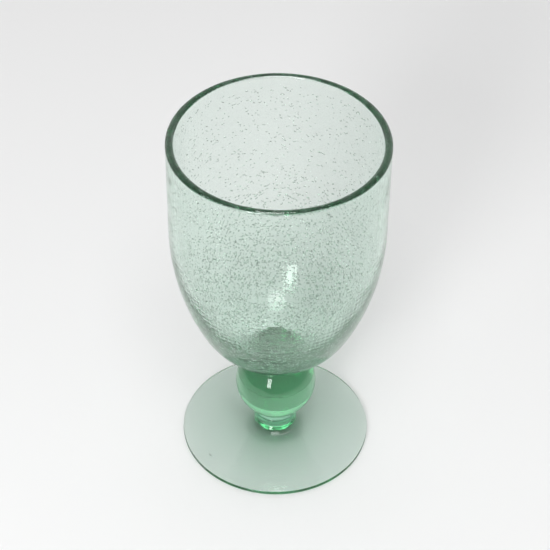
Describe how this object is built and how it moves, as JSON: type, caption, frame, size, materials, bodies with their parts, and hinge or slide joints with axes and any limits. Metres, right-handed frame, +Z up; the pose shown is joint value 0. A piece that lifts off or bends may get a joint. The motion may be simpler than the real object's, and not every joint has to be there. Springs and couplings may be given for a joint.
{
  "type": "wine glass",
  "caption": "Hand-blown green glass goblet: deep round-bottomed bowl full of fine seed bubbles, solid ball knop, short collar and a spread foot.",
  "frame": {"origin": "centre of the foot's resting plane", "axes": "+Z up along the glass's axis, from the foot to the rim; X and Y are free because the glass is round"},
  "size_m": [0.0874, 0.0874, 0.16],
  "materials": {
    "seeded_glass": "fire-polished pale green glass full of fine seed bubbles",
    "clear_glass": "fire-polished pale green glass"
  },
  "bodies": {
    "root": {"bowl": "seeded_glass", "knop": "clear_glass", "collar": "clear_glass", "foot": "clear_glass"}
  },
  "joints": []
}
